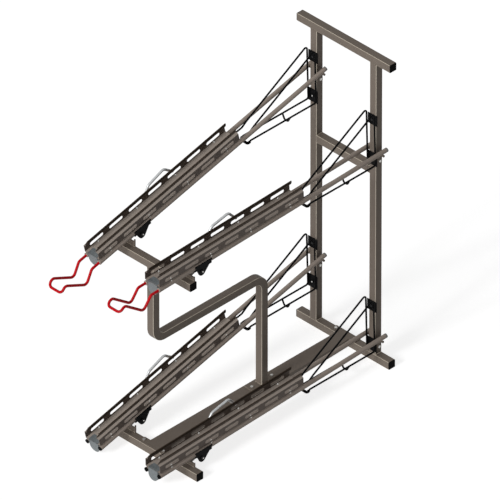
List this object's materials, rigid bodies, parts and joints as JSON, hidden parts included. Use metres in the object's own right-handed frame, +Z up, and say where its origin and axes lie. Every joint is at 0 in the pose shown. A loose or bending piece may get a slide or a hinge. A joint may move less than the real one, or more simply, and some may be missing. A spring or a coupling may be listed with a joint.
{
  "type": "two tier bicycle rack",
  "caption": "Two tier bicycle rack: sloping slotted trays on a square tube frame, upper trays sliding out and tilting down on pivots, with wire wheel holders and lock hoops.",
  "frame": {"origin": "on the floor, midway between the two uprights, at the middle of the rear base bar's underside", "axes": "+X across the rack to the right as seen from where bicycles are loaded, +Y from the loading side to the rear frame, +Z up"},
  "size_m": [0.738, 2.1115, 2.087],
  "materials": {
    "frame_paint": "satin",
    "tray_paint": "satin",
    "apron_steel": "satin",
    "black_paint": "satin",
    "black_plastic": "matte",
    "bright_steel": "satin",
    "hoop_steel": "satin",
    "light_plastic": "matte",
    "red_plastic": "gloss"
  },
  "bodies": {
    "frame": {"rear_base_bar": "frame_paint", "front_base_bar": "frame_paint", "left_upright": "frame_paint", "right_upright": "frame_paint", "top_bar": "frame_paint", "mid_bar": "frame_paint", "upper_front_bar": "frame_paint", "base_channel": "frame_paint", "bent_post": "frame_paint", "bar_end_caps": "black_plastic", "base_bolts": "bright_steel", "rail_rests": "frame_paint", "rest_bolts": "bright_steel", "holder_plates": "black_paint", "holder_bolts": "bright_steel", "pivot_bolts": "bright_steel", "upper_left_bracket": "frame_paint", "upper_left_wheel_holder": "black_paint", "upper_right_bracket": "frame_paint", "upper_right_wheel_holder": "black_paint", "lower_left_bracket": "frame_paint", "lower_left_carriage": "black_paint", "lower_left_guides": "black_plastic", "lower_left_rails": "tray_paint", "lower_left_rail_bolts": "bright_steel", "lower_left_tray": "tray_paint", "lower_left_apron": "apron_steel", "lower_left_lock_hoop": "hoop_steel", "lower_left_rail_caps": "black_plastic", "lower_left_wheel_holder": "black_paint", "lower_right_bracket": "frame_paint", "lower_right_carriage": "black_paint", "lower_right_guides": "black_plastic", "lower_right_rails": "tray_paint", "lower_right_rail_bolts": "bright_steel", "lower_right_tray": "tray_paint", "lower_right_apron": "apron_steel", "lower_right_lock_hoop": "hoop_steel", "lower_right_rail_caps": "black_plastic", "lower_right_wheel_holder": "black_paint", "lower_tail_plugs": "light_plastic"},
    "upper_left_carriage": {"upper_left_carriage": "black_paint", "upper_left_guides": "black_plastic"},
    "upper_left_tray": {"upper_left_rails": "tray_paint", "upper_left_rail_bolts": "bright_steel", "upper_left_tray": "tray_paint", "upper_left_apron": "apron_steel", "upper_left_lock_hoop": "hoop_steel", "upper_left_handle": "red_plastic", "upper_left_tail_plugs": "light_plastic"},
    "upper_right_carriage": {"upper_right_carriage": "black_paint", "upper_right_guides": "black_plastic"},
    "upper_right_tray": {"upper_right_rails": "tray_paint", "upper_right_rail_bolts": "bright_steel", "upper_right_tray": "tray_paint", "upper_right_apron": "apron_steel", "upper_right_lock_hoop": "hoop_steel", "upper_right_handle": "red_plastic", "upper_right_tail_plugs": "light_plastic"}
  },
  "joints": [
    {"name": "upper_left_tilt", "type": "hinge", "parent": "frame", "child": "upper_left_carriage", "pos_m": [-0.235, -1.44637, 1.38228], "axis": [1, 0, 0], "range_deg": [0, 21]},
    {"name": "upper_left_slide", "type": "slide", "parent": "upper_left_carriage", "child": "upper_left_tray", "axis": [0, -0.9711, -0.2385], "range_m": [0, 1.1]},
    {"name": "upper_right_tilt", "type": "hinge", "parent": "frame", "child": "upper_right_carriage", "pos_m": [0.235, -1.44404, 1.36119], "axis": [1, 0, 0], "range_deg": [0, 21]},
    {"name": "upper_right_slide", "type": "slide", "parent": "upper_right_carriage", "child": "upper_right_tray", "axis": [0, -0.9994, -0.0349], "range_m": [0, 1.1]}
  ]
}
